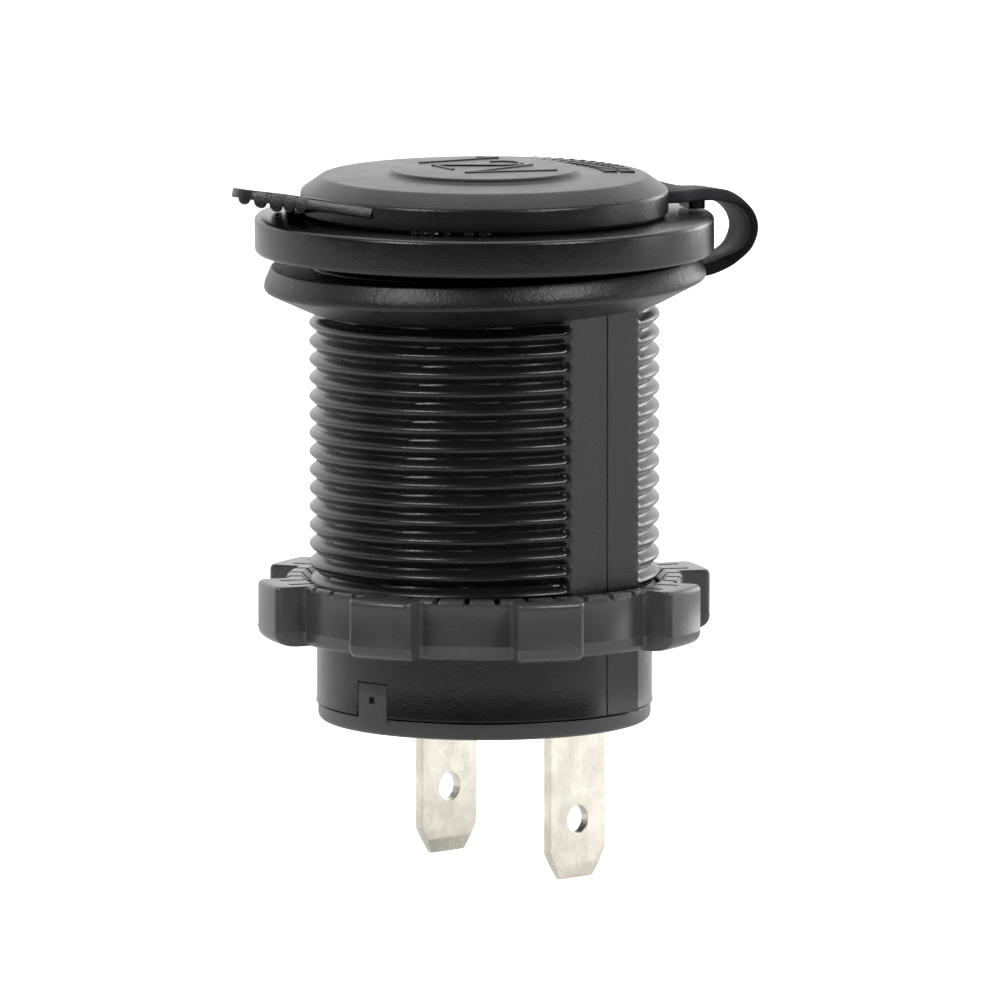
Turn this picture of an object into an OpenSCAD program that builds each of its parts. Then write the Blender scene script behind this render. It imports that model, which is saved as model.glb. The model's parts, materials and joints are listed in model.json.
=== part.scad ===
// Splash-proof 12 V panel socket: a threaded plastic barrel with a flange, a
// castellated ring nut, a drawn metal well with two blade terminals, and a
// rubber cap tied by its strap to the sealing ring under the flange.
// +Z is up the barrel towards the cap. Z = 0 is the underside of the flange,
// where the panel is clamped, and the strap loops round on the +X side.

/* [Barrel] */
// Thickness of the barrel's wall from the bore to the thread's crest
barrel_wall = 2.9; // [2.5:0.1:3.4]
// Depth of the thread, whose root lies level with the plain barrel
thread_step = 0.6; // [0.5:0.05:0.7]
// Pitch of the thread
thread_pitch = 1.5; // [1:0.25:2]
// Length of the plain barrel below the thread
plain_len = 5.35; // [4.5:0.05:7]
// Room below the well for the feet of the terminals
terminal_room = 5.9; // [5:0.1:7]
// Width of the smooth strips where the two mould halves meet
land_w = 7.8; // [5:0.1:9]
// Direction of the smooth strip that the blades face, in degrees from +X
land_angle = -60; // [-75:1:-45]

/* [Flange] */
// How far the flange reaches beyond the thread
flange_rim = 4.4; // [3.5:0.1:6]
// Thickness of the flange
flange_h = 3; // [2:0.1:4]
// Rounding of the flange's two rims
flange_edge = 0.5; // [0.2:0.1:0.9]

/* [Metal well] */
// Inside diameter of the well that takes the plug
well_d = 21.3; // [20.9:0.1:21.6]
// Sheet thickness of the well
well_t = 0.6; // [0.4:0.1:0.8]
// Depth of the well from the flange's top to its floor
well_depth = 33.2; // [31:0.1:34]
// Depth of the plastic mouth above the well's rim
mouth_h = 1.4; // [1:0.1:2]
// Rounding inside the well where its wall meets its floor
well_corner = 2.2; // [2.1:0.1:2.6]

/* [Terminals] */
// Width of each blade terminal
blade_w = 6.3; // [4.8:1.5:6.3]
// Thickness of each blade terminal
blade_t = 0.8; // [0.8:0.1:1]
// Distance of the ground blade's middle inside the well's outer face
ground_inset = 0.95; // [0.9:0.05:1.2]
// Distance of the positive blade from the axis, on the other side
positive_u = 4.4; // [4:0.1:5]
// Length of the ground blade below the end cap
ground_len = 11.9; // [10:0.1:13]
// Length of the positive blade below the end cap
positive_len = 11.3; // [10:0.1:13]
// Diameter of the hole through each blade
blade_hole_d = 2.3; // [1.6:0.1:2.4]

/* [Ring nut] */
// How far the nut's lobes reach beyond the thread
nut_reach = 4.4; // [3.8:0.1:6]
// Thickness of the nut between its lobes
nut_wall = 1.9; // [1.6:0.1:2.8]
// Height of the nut
nut_h = 4.9; // [4:0.1:7]
// Number of lobes round the nut
nut_lobes = 8; // [6:1:10]
// Width of one lobe
nut_lobe_w = 5.7; // [4:0.1:7]
// Height of the nut above the thread's lower end, as the photograph has it
nut_up = 0.1; // [0:0.1:2]

/* [Rubber cap] */
// Width of the flange's rim outside the cap
cap_margin = 3.7; // [3.2:0.1:4.6]
// Height of the cap's upright wall above the flange
cap_wall_h = 2.35; // [1.8:0.05:3]
// Height of the slope above the wall
cap_slope_h = 1; // [0.6:0.05:1.4]
// How far the slope runs in from the rim
cap_slope_w = 1.7; // [1:0.1:2.5]
// Diameter of the raised disc on the cap
badge_d = 15.4; // [12:0.1:18]
// Height of the raised disc
badge_h = 0.45; // [0.2:0.05:0.7]
// Depth to which the cap's plug reaches below the flange's top
plug_depth = 3.6; // [2.5:0.1:4.5]
// Radial gap between the cap's plug and the well
plug_gap = 0.5; // [0.35:0.05:0.8]

/* [Pull tab] */
// Length of the tab beyond the cap's wall
tab_len = 6.2; // [4:0.1:9]
// Thickness of the tab
tab_t = 0.75; // [0.6:0.05:1.2]
// Half the width of the tab where it leaves the cap
tab_root_w = 9.3; // [7:0.1:11]
// Upward slope of the tab, in degrees
tab_lift = 7; // [3:0.5:12]

/* [Strap and sealing ring] */
// Width of the strap
strap_w = 6.5; // [5:0.1:8]
// Thickness of the strap
strap_t = 1; // [0.8:0.1:1.3]
// Gap between the flange's rim and the strap's loop
strap_gap = 2.45; // [2:0.05:4]
// How far the sealing ring stays inside the flange's rim
ring_margin = 0.7; // [0.4:0.1:1.6]
// Height of the ring's upright wall
ring_wall_h = 1.9; // [1.4:0.1:2.5]
// Height of the cone under the ring's wall
ring_cone_h = 1.6; // [1:0.1:2.2]
// How far the ring hangs below the flange at the axis
ring_drop = 0.65; // [0.6:0.05:1.2]
// Tilt of the loose ring, in degrees
ring_tilt = 1.5; // [0:0.1:1.8]

/* [Hidden] */
$fn = 96;

black = [0.045, 0.045, 0.05];
rubber = [0.06, 0.06, 0.065];
tin = [0.78, 0.76, 0.7];
brass = [0.8, 0.66, 0.36];
fibre = [0.45, 0.27, 0.16];

// A cut runs this far past the face that it opens
past = 1;
// Gap of a fixed fit, and radial gap of the nut on its thread
fit = 0.05;
thread_fit = 0.08;

well_r = well_d / 2;
well_outer_r = well_r + well_t;
bore_r = well_outer_r + fit;
well_top = flange_h - mouth_h;
well_floor = flange_h - well_depth;
well_bottom = well_floor - well_t;
well_heel = 1;
// The rim is opened to a funnel that reaches just past the cap's plug
plug_bottom = flange_h - plug_depth;
lead_w = 0.3;
lead_h = well_top - plug_bottom + 0.4;
mouth_r = well_r + lead_w;
mouth_chamfer = 0.5;

thread_r = bore_r + barrel_wall;
plain_r = thread_r - thread_step;
// The strips lie just proud of the plain barrel
land_r = plain_r + 0.05;
flange_r = thread_r + flange_rim;
body_bottom = well_bottom - terminal_room;
thread_len = -body_bottom - plain_len;
thread_crest_w = 0.3;
thread_rise = (thread_pitch - thread_crest_w) / 2;
// The last stretch under the flange, where the sealing ring hides it, has no thread
thread_turns = floor((thread_len - 1) / thread_pitch);
// The strips are a little narrower where the thread runs out into them
thread_land_w = land_w - 0.4;

// The stack that is riveted through the well's floor
insulator_margin = 5.05;
insulator_r = well_r - insulator_margin;
insulator_t = 1;
insulator_boss_r = 3.2;
floor_hole_r = insulator_boss_r + fit;
contact_head_r = 3.6;
contact_head_h = 1;
contact_shank_r = 1.6;
peen_h = 0.7;
peen_r = 2.6;
foot_top = well_bottom - insulator_t;
foot_bottom = foot_top - blade_t;
foot_reach = 3.4;

// The ground blade's foot lies on the well's floor, clear of the insulator
ground_u = well_outer_r - ground_inset;
ground_foot_in = insulator_r + 0.2;
ground_rivet_r = 0.75;
ground_rivet_head_r = 1.3;
ground_rivet_u = insulator_r + ground_rivet_head_r + 0.15;
ground_rivet_head_h = 0.6;

end_plate_h = 1.45;
end_plate_r = plain_r - 0.1;
end_edge = 1.1;
end_lip = 0.12;
end_bottom = body_bottom - end_plate_h;
spigot_r = bore_r - fit;
spigot_wall = 2;
latch_w = 3;
latch_h = 3;
latch_angles = [land_angle - 87, land_angle + 93];
latch_gap = 0.1;
latch_pip = 0.5;

tip_chamfer_w = 1.3;
tip_chamfer_h = 2.2;
ground_hole_z = end_bottom - 0.6 * ground_len;
positive_hole_z = end_bottom - 0.53 * positive_len;

nut_r = thread_r + nut_reach;
nut_core_r = thread_r + nut_wall;
nut_bore_r = thread_r + thread_fit;
nut_bottom = nut_up - thread_len;
nut_top = nut_bottom + nut_h;
nut_round = 1.5;
nut_core_round = 0.6;
nut_top_edge = 0.25;
nut_lead = 0.6;
nut_turn = 2.3;
serrations = 40;
serration_w = 0.45;
serration_d = 0.35;

cap_r = flange_r - cap_margin;
cap_top = flange_h + cap_wall_h + cap_slope_h;
cap_top_r = cap_r - cap_slope_w;
badge_r = badge_d / 2;
badge_edge = 0.25;
plug_r = well_r - plug_gap;
plug_wall = 1.5;
plug_bead = 0.15;
plug_bead_r = 0.6;
plug_bead_rise = 1.2;
cap_roof = 2;
cap_foot = 0.3;

tab_reach = cap_r + tab_len;
tab_tip_r = 3.5;
tab_tip_u = tab_reach - tab_tip_r;
// The tab's corner stands just outside the cap's wall
tab_corner_u = sqrt(pow(cap_r + 0.2, 2) - pow(tab_root_w, 2));
tab_root_in = 3;
tab_root_u = tab_corner_u - tab_root_in;
tab_rise = 1.45;
tab_mid_z = flange_h + tab_rise;
// Where the tab's straight side meets its round tip
tab_side = norm([tab_tip_u - tab_corner_u, tab_root_w]);
tab_tangent = atan2(tab_root_w, tab_corner_u - tab_tip_u) - acos(tab_tip_r / tab_side);
tab_ribs = 5;
tab_rib_r = 0.43;
tab_rib_drop = 0.15;
tab_rib_pitch = 1.03;
tab_rib_first = tab_reach - 0.55;

// The loop is two arcs that meet at its outermost point
strap_reach = flange_r + strap_gap + strap_t;
loop_z = 1.65;
loop_upper_r = 3.3;
loop_lower_r = 3.75;
loop_upper_x = strap_reach - loop_upper_r;
loop_lower_x = strap_reach - loop_lower_r;
strap_top = loop_z + loop_upper_r;
strap_low = loop_z - loop_lower_r;
cap_lug_x = cap_r + 0.4;
ring_lug_x = loop_lower_x;

ring_r = flange_r - ring_margin;
ring_bore_r = thread_r + 0.2;
ring_lip_r = ring_bore_r + 0.25;
ring_h = ring_wall_h + ring_cone_h;
ring_edge = 0.7;
ring_root = 1;

// A quarter disc in the first quadrant
module rim_quarter(r) {
    intersection() {
        circle(r);
        square(r);
    }
}

// A solid of revolution whose lower and upper outer rims are rounded
module rounded_disc(r, z0, z1, low, high) {
    rotate_extrude() {
        translate([0, z0 + low]) square([r, z1 - z0 - low - high]);
        if (low > 0) {
            translate([0, z0]) square([r - low, low]);
            translate([r - low, z0 + low]) rotate(-90) rim_quarter(low);
        }
        if (high > 0) {
            translate([0, z1 - high]) square([r - high, high]);
            translate([r - high, z1 - high]) rim_quarter(high);
        }
    }
}

// A round hole or rod between two heights
module rod(r, z0, z1) {
    translate([0, 0, z0]) cylinder(r = r, h = z1 - z0);
}

// A tapered stretch between two heights
module taper(r0, r1, z0, z1) {
    translate([0, 0, z0]) cylinder(r1 = r0, r2 = r1, h = z1 - z0);
}

// A block centred on the radial line at this angle
module radial_block(angle, u0, u1, w, z0, z1) {
    rotate([0, 0, angle]) translate([u0, -w / 2, z0]) cube([u1 - u0, w, z1 - z0]);
}

// The smooth strips on both sides of the thread, which hide its ends
module thread_lands() {
    for (turn = [0, 180])
        radial_block(land_angle + turn, bore_r + 0.5, land_r, thread_land_w, -thread_len, past);
}

// Below the thread only the half of each strip beyond the mould line stands proud
module plain_lands() {
    for (turn = [0, 180]) rotate([0, 0, land_angle + turn])
        translate([bore_r + 0.5, 0, body_bottom])
            cube([land_r - bore_r - 0.5, land_w / 2, -thread_len - body_bottom]);
}

// The barrel's outside: the plain end, then the thread as rings of its true section
module threaded_core() {
    ring_corners = [
        [plain_r, 0], [thread_r, thread_rise], [thread_r, thread_rise + thread_crest_w]
    ];
    intersection() {
        rotate_extrude() polygon(concat(
            [[0, body_bottom], [plain_r, body_bottom]],
            [for (i = [0 : thread_turns - 1], corner = ring_corners)
                [corner[0], i * thread_pitch - thread_len + corner[1]]],
            [
                [plain_r, thread_turns * thread_pitch - thread_len],
                [plain_r, past], [0, past]
            ]
        ));
        rotate([0, 0, land_angle])
            translate([-land_r, -thread_r - past, body_bottom - past])
                cube([2 * land_r, 2 * (thread_r + past), 3 * past - body_bottom]);
    }
}

module socket_body() {
    color(black) difference() {
        union() {
            rounded_disc(flange_r, 0, flange_h, flange_edge, flange_edge);
            threaded_core();
            plain_lands();
            thread_lands();
        }
        rod(bore_r, body_bottom - past, well_top);
        rod(mouth_r, well_top - past, flange_h + past);
        taper(mouth_r, mouth_r + mouth_chamfer + past,
              flange_h - mouth_chamfer, flange_h + past);
        for (angle = latch_angles)
            radial_block(angle, bore_r - past, plain_r + past, latch_w + 2 * latch_gap,
                         body_bottom - past, body_bottom + latch_h + latch_gap);
    }
}

module end_cap() {
    color(black) difference() {
        union() {
            rounded_disc(end_plate_r, end_bottom, body_bottom, end_edge, end_lip);
            rod(spigot_r, body_bottom - fit, well_bottom);
            intersection() {
                rod(plain_r, body_bottom - fit, body_bottom + latch_h);
                for (angle = latch_angles)
                    radial_block(angle, spigot_r - spigot_wall, plain_r + past, latch_w,
                                 body_bottom - fit, body_bottom + latch_h);
            }
        }
        rod(spigot_r - spigot_wall, body_bottom, well_bottom + past);
        blade_slot(ground_u);
        blade_slot(-positive_u);
        // Room for the ground blade's foot and rivet inside the spigot
        radial_block(land_angle, ground_foot_in, spigot_r + past, blade_w + 4 * fit,
                     foot_bottom - ground_rivet_head_h - fit, well_bottom + past);
        for (angle = latch_angles)
            radial_block(angle, plain_r - latch_pip / 2, plain_r + past, latch_pip,
                         body_bottom + latch_h / 2 - latch_pip / 2,
                         body_bottom + latch_h / 2 + latch_pip / 2);
    }
}

// The slot in the end cap that a blade passes through
module blade_slot(u) {
    radial_block(land_angle, u - blade_t / 2 - fit, u + blade_t / 2 + fit, blade_w + 2 * fit,
                 end_bottom - past, well_bottom + past);
}

module contact_well() {
    color(tin) difference() {
        rounded_disc(well_outer_r, well_bottom, well_top, well_heel, 0);
        rounded_disc(well_r, well_floor, well_top + past, well_corner, 0);
        taper(well_r, mouth_r, well_top - lead_h, well_top);
        rod(mouth_r, well_top, well_top + past);
        rod(floor_hole_r, well_bottom - past, well_floor + past);
        rotate([0, 0, land_angle]) translate([ground_rivet_u, 0, 0])
            rod(ground_rivet_r, well_bottom - past, well_floor + past);
    }
}

module inner_insulator() {
    color(fibre) difference() {
        union() {
            rod(insulator_r, well_floor, well_floor + insulator_t);
            rod(insulator_boss_r, well_bottom, well_floor + insulator_t);
        }
        rod(contact_shank_r, well_bottom - past, well_floor + insulator_t + past);
    }
}

module outer_insulator() {
    color(fibre) difference() {
        rod(insulator_r, foot_top, well_bottom);
        rod(contact_shank_r, foot_top - past, well_bottom + past);
    }
}

module centre_contact() {
    color(brass) union() {
        translate([0, 0, well_floor + insulator_t]) intersection() {
            rod(contact_head_r, 0, contact_head_h);
            translate([0, 0, contact_head_h - 2 * contact_head_r]) sphere(2 * contact_head_r);
        }
        rod(contact_shank_r, foot_bottom - peen_h, well_floor + insulator_t + past / 2);
        rod(peen_r, foot_bottom - peen_h, foot_bottom);
    }
}

// A blade that hangs down at a distance from the axis, with its hole and cut tip
module blade(u, top, bottom, hole_z) {
    rotate([0, 0, land_angle]) translate([u, 0, 0]) rotate([90, 0, 90])
        translate([0, 0, -blade_t / 2]) linear_extrude(blade_t) difference() {
            polygon([
                [-blade_w / 2, top], [blade_w / 2, top],
                [blade_w / 2, bottom + tip_chamfer_h], [blade_w / 2 - tip_chamfer_w, bottom],
                [-blade_w / 2 + tip_chamfer_w, bottom], [-blade_w / 2, bottom + tip_chamfer_h]
            ]);
            translate([0, hole_z]) circle(d = blade_hole_d);
        }
}

module positive_blade() {
    color(tin) difference() {
        union() {
            blade(-positive_u, foot_top, end_bottom - positive_len, positive_hole_z);
            radial_block(land_angle, -positive_u - blade_t / 2, foot_reach, blade_w,
                         foot_bottom, foot_top);
        }
        rod(contact_shank_r, foot_bottom - past, foot_top + past);
    }
}

module ground_blade() {
    color(tin) difference() {
        union() {
            blade(ground_u, well_bottom, end_bottom - ground_len, ground_hole_z);
            radial_block(land_angle, ground_foot_in, ground_u + blade_t / 2, blade_w,
                         well_bottom - blade_t, well_bottom);
        }
        rotate([0, 0, land_angle]) translate([ground_rivet_u, 0, 0])
            rod(ground_rivet_r, well_bottom - blade_t - past, well_bottom + past);
    }
}

module ground_rivet() {
    color(tin) rotate([0, 0, land_angle]) translate([ground_rivet_u, 0, 0]) {
        rod(ground_rivet_r, well_bottom - blade_t - fit, well_floor + fit);
        rod(ground_rivet_head_r, well_floor, well_floor + ground_rivet_head_h);
        rod(ground_rivet_head_r, well_bottom - blade_t - ground_rivet_head_h,
            well_bottom - blade_t);
    }
}

module ring_nut() {
    color(black) difference() {
        union() {
            rounded_disc(nut_core_r, nut_bottom, nut_top, nut_core_round, nut_top_edge);
            intersection() {
                rounded_disc(nut_r, nut_bottom, nut_top, nut_round, nut_top_edge);
                for (i = [0 : nut_lobes - 1])
                    radial_block(nut_turn + i * 360 / nut_lobes, nut_bore_r + nut_lead,
                                 nut_r + past,
                                 nut_lobe_w, nut_bottom, nut_top);
            }
        }
        rod(nut_bore_r, nut_bottom - past, nut_top + past);
        taper(nut_bore_r, nut_bore_r + nut_lead + past, nut_top - nut_lead, nut_top + past);
        taper(nut_bore_r + nut_lead + past, nut_bore_r, nut_bottom - past,
              nut_bottom + nut_lead);
        for (i = [0 : serrations - 1])
            radial_block(nut_turn + (i + 0.5) * 360 / serrations, nut_bore_r + nut_lead,
                         nut_core_r + past / 2, serration_w, nut_top - serration_d,
                         nut_top + past);
    }
}

module sealing_ring() {
    color(rubber) difference() {
        union() {
            translate([0, 0, -ring_drop]) rotate([0, -ring_tilt, 0]) mirror([0, 0, 1])
                rotate_extrude() difference() {
                    union() {
                        square([ring_r - ring_edge, ring_wall_h]);
                        translate([0, ring_edge]) square([ring_r, ring_wall_h - ring_edge]);
                        translate([ring_r - ring_edge, ring_edge]) circle(ring_edge);
                        polygon([
                            [0, ring_wall_h - 0.01], [ring_r, ring_wall_h - 0.01],
                            [ring_lip_r, ring_h], [0, ring_h]
                        ]);
                    }
                    translate([-past, -past]) square([ring_bore_r + past, ring_h + 2 * past]);
                }
            translate([ring_bore_r + ring_root, -strap_w / 2, strap_low])
                cube([ring_lug_x - ring_bore_r - ring_root, strap_w, strap_t]);
        }
    }
}

// One quarter of the strap's loop, a flat band bent on edge
module loop_quarter(x, r, turn) {
    translate([x, 0, loop_z]) rotate([90, 0, 0]) translate([0, 0, -strap_w / 2])
        linear_extrude(strap_w) intersection() {
            difference() {
                circle(r);
                circle(r - strap_t);
            }
            rotate(turn) square(r + past);
        }
}

module cap_strap() {
    color(rubber) union() {
        loop_quarter(loop_upper_x, loop_upper_r, 0);
        loop_quarter(loop_lower_x, loop_lower_r, -90);
        translate([cap_lug_x, -strap_w / 2, strap_top - strap_t])
            cube([loop_upper_x - cap_lug_x, strap_w, strap_t]);
    }
}

// The tab's outline: straight sides that run tangent to a round tip
module tab_outline() {
    polygon([
        [tab_root_u, -tab_root_w], [tab_corner_u, -tab_root_w],
        tab_tangent_point(-1), tab_tangent_point(1),
        [tab_corner_u, tab_root_w], [tab_root_u, tab_root_w]
    ]);
    translate([tab_tip_u, 0]) circle(tab_tip_r);
}

function tab_tangent_point(side) = [
    tab_tip_u + tab_tip_r * cos(tab_tangent), side * tab_tip_r * sin(tab_tangent)
];

module pull_tab() {
    translate([-tab_corner_u, 0, tab_mid_z]) rotate([0, tab_lift, 0])
        translate([tab_corner_u, 0, 0]) rotate([0, 0, 180]) {
            translate([0, 0, -tab_t / 2]) linear_extrude(tab_t) tab_outline();
            intersection() {
                translate([0, 0, -2 * tab_t]) linear_extrude(2 * tab_t) tab_outline();
                for (i = [0 : tab_ribs - 1])
                    translate([tab_rib_first - i * tab_rib_pitch, 0, -tab_t / 2 - tab_rib_drop])
                        rotate([90, 0, 0])
                            cylinder(r = tab_rib_r, h = 2 * tab_root_w, center = true, $fn = 32);
            }
        }
}

module rubber_cap() {
    color(rubber) difference() {
        union() {
            rotate_extrude() polygon([
                [0, flange_h], [cap_r - cap_foot, flange_h], [cap_r, flange_h + cap_foot],
                [cap_r, flange_h + cap_wall_h], [cap_top_r, cap_top],
                [badge_r, cap_top], [badge_r - badge_edge, cap_top + badge_h],
                [0, cap_top + badge_h]
            ]);
            rod(plug_r, plug_bottom, flange_h + past);
            translate([0, 0, plug_bottom + plug_bead_rise]) rotate_extrude()
                translate([plug_r + plug_bead - plug_bead_r, 0]) circle(plug_bead_r);
            translate([cap_r - past, -strap_w / 2, strap_top - strap_t])
                cube([cap_lug_x - cap_r + past, strap_w, strap_t]);
            pull_tab();
        }
        rod(plug_r - plug_wall, plug_bottom - past, cap_top - cap_roof);
    }
}

socket_body();
end_cap();
contact_well();
inner_insulator();
outer_insulator();
centre_contact();
positive_blade();
ground_blade();
ground_rivet();
ring_nut();
sealing_ring();
cap_strap();
rubber_cap();
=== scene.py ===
"""Looks of a splash-proof 12 V panel socket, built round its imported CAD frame."""

import json
import math

import bmesh
import bpy
from mathutils import Matrix, Vector

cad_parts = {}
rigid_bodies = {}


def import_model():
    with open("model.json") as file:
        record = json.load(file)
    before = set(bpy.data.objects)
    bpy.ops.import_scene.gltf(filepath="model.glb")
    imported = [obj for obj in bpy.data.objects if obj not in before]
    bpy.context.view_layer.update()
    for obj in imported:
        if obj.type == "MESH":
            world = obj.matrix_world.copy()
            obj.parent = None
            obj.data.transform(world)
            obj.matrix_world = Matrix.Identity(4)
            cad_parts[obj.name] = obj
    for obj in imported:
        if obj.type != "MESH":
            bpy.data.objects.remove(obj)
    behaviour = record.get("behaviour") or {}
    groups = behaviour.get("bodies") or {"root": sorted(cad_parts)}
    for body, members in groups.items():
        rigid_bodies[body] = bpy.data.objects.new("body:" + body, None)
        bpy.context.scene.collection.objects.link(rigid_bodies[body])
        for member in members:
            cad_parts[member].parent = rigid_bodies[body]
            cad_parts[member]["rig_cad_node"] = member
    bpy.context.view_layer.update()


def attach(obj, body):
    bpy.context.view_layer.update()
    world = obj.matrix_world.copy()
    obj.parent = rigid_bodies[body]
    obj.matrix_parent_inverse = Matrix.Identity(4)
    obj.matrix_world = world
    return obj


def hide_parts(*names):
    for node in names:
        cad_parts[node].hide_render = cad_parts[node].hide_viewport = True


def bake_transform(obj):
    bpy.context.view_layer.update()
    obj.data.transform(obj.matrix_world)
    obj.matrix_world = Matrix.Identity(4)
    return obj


bl_info = {
    "name": "Panel socket looks",
    "version": (1, 0, 0),
    "blender": (4, 5, 0),
    "location": "View3D > Sidebar > Socket",
    "description": "Builds the visible pieces of a 12 V panel socket round its CAD frame",
    "category": "Object",
}

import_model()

MM = 0.001

# Heights and radii in millimetres that the pieces share, as the frame has them
SEAT_TOP = 3.0
THREAD_END = -31.35
BARREL_END = -36.7
BORE_R = 11.3
LAND_ANGLE = -60.0
LAND_HALF_W = 3.9
MOULD_LINE = 1.4
TAB_SLANT = math.radians(15.0)
NUT_TURN = 2.3
NUT_BOTTOM = -31.25
LATCH_HIGH = 2.9
LATCH_ANGLES = (LAND_ANGLE - 87.0, LAND_ANGLE + 93.0)
# Half the angle that a latch notch takes at the barrel's outside, and at its bore
NOTCH_HALF = 6.756
NOTCH_HALF_IN_BORE = 8.14
# The thread's first crest passes this height at this angle
CREST_HEIGHT, CREST_ANGLE = -5.742, 165.0
SOCKET_LOW = BARREL_END - 1.45
DISC_TOP = 6.8
BLADE_WIDTH, BLADE_THICK = 6.3, 0.8
FLOOR_LEVEL = -50.1
VIEW_WIDTH = 81.04
# The photo's middle, to the right of the axis and up from the flange's underside
VIEW_MIDDLE = (1.26, -20.28)


# Mesh helpers


def metres(x, y, z):
    """A point in millimetres, given back in metres."""
    return Vector((x, y, z)) * MM


def polar(radius, degrees, height):
    """A point in millimetres round the barrel's axis, given back in metres."""
    angle = math.radians(degrees)
    return metres(radius * math.cos(angle), radius * math.sin(angle), height)


def turn_from(centre, angle):
    """Degrees from one direction to another, between -180 and 180."""
    return (angle - centre + 180.0) % 360.0 - 180.0


def new_piece(name, points, faces, materials, sharp=32.0):
    """A smooth mesh object, with sharp edges where faces meet at over sharp degrees."""
    mesh = bpy.data.meshes.new(name)
    mesh.from_pydata([tuple(p) for p in points], [], faces)
    tidy = bmesh.new()
    tidy.from_mesh(mesh)
    bmesh.ops.remove_doubles(tidy, verts=tidy.verts, dist=1e-7)
    tidy.to_mesh(mesh)
    tidy.free()
    mesh.shade_smooth()
    mesh.set_sharp_from_angle(angle=math.radians(sharp))
    for material in materials:
        mesh.materials.append(material)
    piece = bpy.data.objects.new(name, mesh)
    bpy.context.scene.collection.objects.link(piece)
    return piece


def softened(outline, steps=4):
    """The corners of an outline of (r, z, cut) rounded off over their cut."""
    soft = []
    count = len(outline)
    for i, (r, z, cut) in enumerate(outline):
        corner = Vector((r, z))
        if cut <= 0:
            soft.append(corner)
            continue
        before = Vector(outline[i - 1][:2]) - corner
        after = Vector(outline[(i + 1) % count][:2]) - corner
        start = corner + before.normalized() * min(cut, before.length * 0.49)
        end = corner + after.normalized() * min(cut, after.length * 0.49)
        for step in range(steps + 1):
            s = step / steps
            soft.append(start * (1 - s) ** 2 + corner * 2 * s * (1 - s) + end * s * s)
    return soft


def grid_faces(columns, rows):
    """Quads of a grid closed both ways, which face out where its rows go up."""
    faces = []
    for i in range(columns):
        k = (i + 1) % columns
        for j in range(rows):
            m = (j + 1) % rows
            faces.append((i * rows + j, k * rows + j, k * rows + m, i * rows + m))
    return faces


def turned(outline, columns=192, steps=4):
    """Points and faces of an outline of (r, z, cut) turned round the axis."""
    soft = softened(outline, steps)
    points = [
        polar(p.x, 360.0 * i / columns, p.y) for i in range(columns) for p in soft
    ]
    return points, grid_faces(columns, len(soft))


def lofted(sections):
    """Points and faces of closed sections of equal length, with both ends filled."""
    rows = len(sections[0])
    points = [p for section in sections for p in section]
    faces = []
    for i in range(len(sections) - 1):
        for j in range(rows):
            m = (j + 1) % rows
            faces.append(
                (i * rows + j, i * rows + m, (i + 1) * rows + m, (i + 1) * rows + j)
            )
    last = (len(sections) - 1) * rows
    faces.append(tuple(range(rows - 1, -1, -1)))
    faces.append(tuple(range(last, last + rows)))
    return points, faces


def joined(*parts):
    """Several (points, faces) as one."""
    points, faces = [], []
    for part_points, part_faces in parts:
        base = len(points)
        points += list(part_points)
        faces += [tuple(base + i for i in face) for face in part_faces]
    return points, faces


def moved(part, matrix):
    """(points, faces) with its points, in metres, taken through a matrix."""
    return [matrix @ Vector(p) for p in part[0]], part[1]


def smooth_step(value):
    """From 0 to 1 with a soft start and end."""
    value = min(1.0, max(0.0, value))
    return value * value * (3 - 2 * value)


# Material helpers

WHITE = (1.0, 1.0, 1.0, 1.0)


def shade(colour, factor=1.0):
    """A colour with its alpha, darker or paler by a factor."""
    return tuple(min(1.0, factor * c) for c in colour) + (1.0,)


def fill(node, **values):
    """Sets inputs of a node, which are named here with _ for each space."""
    for name, value in values.items():
        node.inputs[name.replace("_", " ")].default_value = value
    return node


def add_node(nodes, kind, **values):
    return fill(nodes.new("ShaderNode" + kind), **values)


class Finish:
    """A node material with its principled shader, and short ways to add nodes to it."""

    def __init__(self, name, colour, roughness, metallic=0.0):
        self.material = bpy.data.materials.new(name)
        self.material.use_nodes = True
        self.nodes = self.material.node_tree.nodes
        self.links = self.material.node_tree.links
        self.shader = self.nodes["Principled BSDF"]
        fill(self.shader, Base_Color=shade(colour))
        fill(self.shader, Roughness=roughness, Metallic=metallic)
        self.place = add_node(self.nodes, "TexCoord").outputs["Object"]

    def noise(self, scale, detail=3.0, stretch=None):
        node = add_node(
            self.nodes, "TexNoise", Scale=scale, Detail=detail, Roughness=0.55
        )
        place = self.place
        if stretch:
            mapping = add_node(self.nodes, "Mapping", Scale=stretch)
            self.links.new(place, mapping.inputs["Vector"])
            place = mapping.outputs["Vector"]
        self.links.new(place, node.inputs["Vector"])
        return node.outputs[0]

    def ranged(self, value, low, high, start=0.3, end=0.7):
        node = add_node(self.nodes, "MapRange", From_Min=start, From_Max=end)
        fill(node, To_Min=low, To_Max=high)
        self.links.new(value, node.inputs["Value"])
        return node.outputs["Result"]

    def ramp(self, value, *stops):
        node = add_node(self.nodes, "ValToRGB")
        elements = node.color_ramp.elements
        while len(elements) < len(stops):
            elements.new(0.5)
        for element, (position, colour) in zip(elements, stops):
            element.position = position
            element.color = colour
        self.links.new(value, node.inputs["Fac"])
        return node.outputs["Color"]

    def bumps(self, *layers):
        """Bump layers of (height, strength, distance in metres), each over the last."""
        normal = None
        for height, strength, distance in layers:
            node = add_node(self.nodes, "Bump", Strength=strength, Distance=distance)
            self.links.new(height, node.inputs["Height"])
            if normal:
                self.links.new(normal, node.inputs["Normal"])
            normal = node.outputs["Normal"]
        self.links.new(normal, self.shader.inputs["Normal"])

    def drive(self, socket, value):
        self.links.new(value, self.shader.inputs[socket])


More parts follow.
